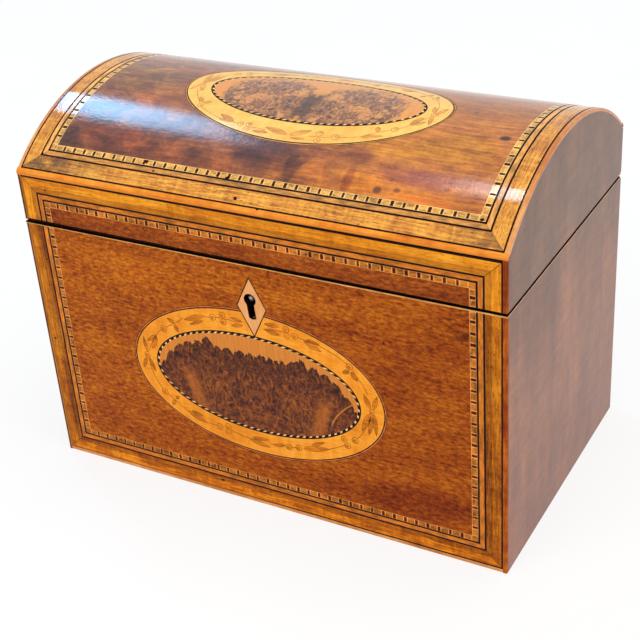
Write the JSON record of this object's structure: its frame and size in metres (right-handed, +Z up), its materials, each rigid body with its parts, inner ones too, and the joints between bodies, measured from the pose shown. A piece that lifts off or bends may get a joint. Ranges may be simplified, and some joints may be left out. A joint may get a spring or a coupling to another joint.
{
  "type": "tea caddy",
  "caption": "Rectangular wooden tea caddy with a hinged domed lid, inlaid oval panels and banding, a lock, and two lined compartments with lift-out inner lids.",
  "frame": {"origin": "centre of the underside of the base board", "axes": "+X to the right as the keyhole is faced, +Y to the back, where the hinges are, +Z up"},
  "size_m": [0.19, 0.1126, 0.1446],
  "materials": {
    "carcass_wood": "oiled mahogany carcass wood",
    "front_field_veneer": "French-polished warm brown veneer",
    "dome_field_veneer": "French-polished red-brown veneer",
    "side_veneer": "French-polished grey-brown veneer",
    "boxwood_line": "French-polished boxwood stringing",
    "crossband_veneer": "French-polished olive-gold crossbanding",
    "dark_line": "French-polished ebonised stringing",
    "chequer_band": "French-polished chequer banding",
    "oval_border_veneer": "French-polished satinwood with engraved vine",
    "rope_ring": "French-polished rope stringing",
    "burr_veneer": "French-polished burr",
    "lozenge_inlay": "polished boxwood inlay",
    "fitting_wood": "polished mahogany fittings",
    "turned_knob": "turned boxwood",
    "lead_foil": "dull beaten foil",
    "lid_paper": "old blue-grey paper",
    "brass": "aged brass",
    "steel": "worn steel"
  },
  "bodies": {
    "box": {"base_board": "carcass_wood", "front_wall": "carcass_wood", "back_wall": "carcass_wood", "left_wall": "carcass_wood", "right_wall": "carcass_wood", "front_lining": "fitting_wood", "back_lining": "fitting_wood", "end_linings": "fitting_wood", "divider": "fitting_wood", "left_hinge_box_leaf": "brass", "right_hinge_box_leaf": "brass", "front_veneer": "front_field_veneer", "back_veneer": "side_veneer", "left_veneer": "side_veneer", "right_veneer": "side_veneer", "box_edge_strings": "boxwood_line", "rim_strings": "boxwood_line", "box_crossbanding": "crossband_veneer", "box_dark_lines": "dark_line", "box_light_line": "boxwood_line", "box_chequer_band": "chequer_band", "front_oval_border": "oval_border_veneer", "front_rope_ring": "rope_ring", "front_burr_panel": "burr_veneer", "keyhole_lozenge": "lozenge_inlay", "foil_linings": "lead_foil", "lock_case": "brass", "lock_cap": "brass", "lock_pin": "steel", "hinge_pins": "steel", "box_screws": "steel"},
    "bolt": {"lock_bolt": "steel", "bolt_spring": "steel"},
    "lid": {"lid_front_rail": "carcass_wood", "lid_back_rail": "carcass_wood", "left_gable": "carcass_wood", "right_gable": "carcass_wood", "dome_staves": "carcass_wood", "left_hinge_lid_leaf": "brass", "right_hinge_lid_leaf": "brass", "dome_veneer": "dome_field_veneer", "lid_front_veneer": "front_field_veneer", "lid_back_veneer": "side_veneer", "lid_left_veneer": "side_veneer", "lid_right_veneer": "side_veneer", "lid_edge_strings": "boxwood_line", "lid_crossbanding": "crossband_veneer", "lid_dark_lines": "dark_line", "lid_light_line": "boxwood_line", "lid_chequer_band": "chequer_band", "dome_oval_border": "oval_border_veneer", "dome_rope_ring": "rope_ring", "dome_burr_panel": "burr_veneer", "link_plate": "brass", "lid_screws": "steel", "lid_lining": "lid_paper"},
    "left_inner_lid": {"left_inner_lid": "fitting_wood", "left_knob": "turned_knob"},
    "right_inner_lid": {"right_inner_lid": "fitting_wood", "right_knob": "turned_knob"}
  },
  "joints": [
    {"name": "lid_hinge", "type": "hinge", "parent": "box", "child": "lid", "pos_m": [0, 0.055, 0.10325], "axis": [-1, 0, 0], "range_deg": [0, 100]},
    {"name": "bolt_slide", "type": "slide", "parent": "box", "child": "bolt", "axis": [1, 0, 0], "range_m": [0, 0.0045]},
    {"name": "left_inner_lid_lift", "type": "slide", "parent": "box", "child": "left_inner_lid", "axis": [0, 0, 1], "range_m": [0, 0.018]},
    {"name": "right_inner_lid_lift", "type": "slide", "parent": "box", "child": "right_inner_lid", "axis": [0, 0, 1], "range_m": [0, 0.018]}
  ]
}
